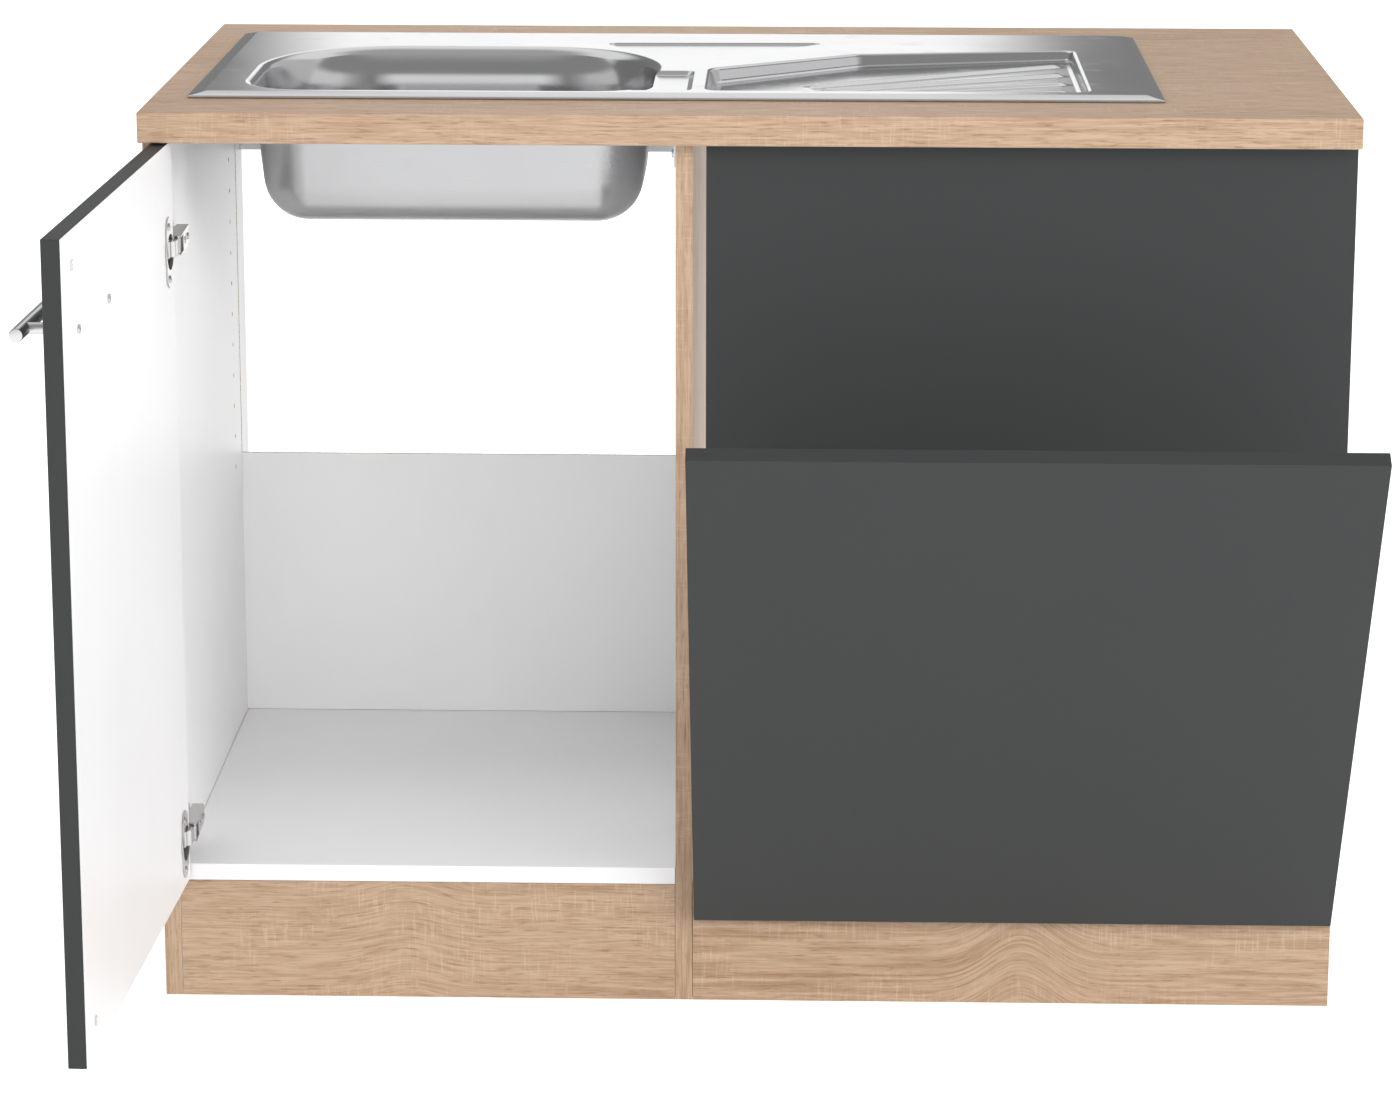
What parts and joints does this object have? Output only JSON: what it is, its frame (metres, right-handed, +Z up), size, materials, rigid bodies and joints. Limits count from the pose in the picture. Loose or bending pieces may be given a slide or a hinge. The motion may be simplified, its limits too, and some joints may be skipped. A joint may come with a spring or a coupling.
{
  "type": "kitchen sink unit",
  "caption": "Kitchen sink unit: worktop with an inset pressed-steel sink and drainer, a cabinet with a hinged door, and an appliance niche behind a front that tilts forward.",
  "frame": {"origin": "on the floor under the middle of the whole unit as it stands at rest, with the door open and the niche front tilted forward", "axes": "+X along the worktop towards the appliance niche, +Y to the rear towards the wall, +Z up"},
  "size_m": [1.1406, 1.0686, 0.8558],
  "materials": {
    "oak_decor": "light sawn-oak decor, matt, fine grain along each board",
    "white_melamine": "white melamine-faced board, satin",
    "grey_lacquer": "dark grey front board, matt; the door and the tilting front are white inside",
    "sink_steel": "pressed stainless steel sheet, fine brushed, bright",
    "handle_steel": "satin steel",
    "zinc_plate": "nickel or zinc plated steel",
    "foam_seal": "black foam strip",
    "clear_bumper": "clear soft plastic dot"
  },
  "bodies": {
    "carcass": {"worktop": "oak_decor", "sink": "sink_steel", "sink_seal": "foam_seal", "front_left_sink_clamp": "zinc_plate", "front_right_sink_clamp": "zinc_plate", "rear_left_sink_clamp": "zinc_plate", "rear_right_sink_clamp": "zinc_plate", "left_sink_clamp": "zinc_plate", "right_sink_clamp": "zinc_plate", "left_side_panel": "oak_decor", "mid_panel": "oak_decor", "bottom_panel": "white_melamine", "back_panel": "white_melamine", "rear_rail": "white_melamine", "left_plinth": "oak_decor", "niche_plinth": "oak_decor", "plinth_return": "oak_decor", "infill_panel": "grey_lacquer", "left_front_bracket": "zinc_plate", "left_rear_bracket": "zinc_plate", "mid_front_bracket": "zinc_plate", "mid_rear_bracket": "zinc_plate", "infill_left_bracket": "zinc_plate", "infill_right_bracket": "zinc_plate", "left_plinth_bracket": "zinc_plate", "niche_plinth_bracket": "zinc_plate", "return_bracket": "zinc_plate", "upper_hinge_arm": "zinc_plate", "lower_hinge_arm": "zinc_plate", "upper_hinge_mount": "zinc_plate", "lower_hinge_mount": "zinc_plate", "upper_arm_pin": "zinc_plate", "lower_arm_pin": "zinc_plate", "left_pivot_bracket": "zinc_plate", "right_pivot_bracket": "zinc_plate", "left_pivot_pin": "zinc_plate", "right_pivot_pin": "zinc_plate"},
    "hinge_links": {"upper_hinge_link": "zinc_plate", "lower_hinge_link": "zinc_plate"},
    "door": {"door_panel": "grey_lacquer", "handle_bar": "handle_steel", "inner_handle_post": "handle_steel", "outer_handle_post": "handle_steel", "inner_handle_screw": "zinc_plate", "outer_handle_screw": "zinc_plate", "upper_bumper": "clear_bumper", "lower_bumper": "clear_bumper", "upper_hinge_cup": "zinc_plate", "lower_hinge_cup": "zinc_plate", "upper_cup_pin": "zinc_plate", "lower_cup_pin": "zinc_plate"},
    "niche_front": {"tilt_front": "grey_lacquer", "left_tilt_arm": "zinc_plate", "right_tilt_arm": "zinc_plate"}
  },
  "joints": [
    {"name": "hinge_link_turn", "type": "hinge", "parent": "carcass", "child": "hinge_links", "pos_m": [-0.50052, -0.02827, 0.441], "axis": [0, 0, 1], "range_deg": [-37.75, 0]},
    {"name": "door_swing", "type": "hinge", "parent": "hinge_links", "child": "door", "pos_m": [-0.5065, -0.04854, 0.441], "axis": [0, 0, 1], "range_deg": [0, 129.7]},
    {"name": "niche_front_tilt", "type": "hinge", "parent": "carcass", "child": "niche_front", "pos_m": [0.27035, 0.00065, 0.0999], "axis": [1, 0, 0], "range_deg": [-30, 0]}
  ],
  "couplings": [
    {"joint": "hinge_link_turn", "follows": "door_swing", "ratio": -0.29074}
  ]
}
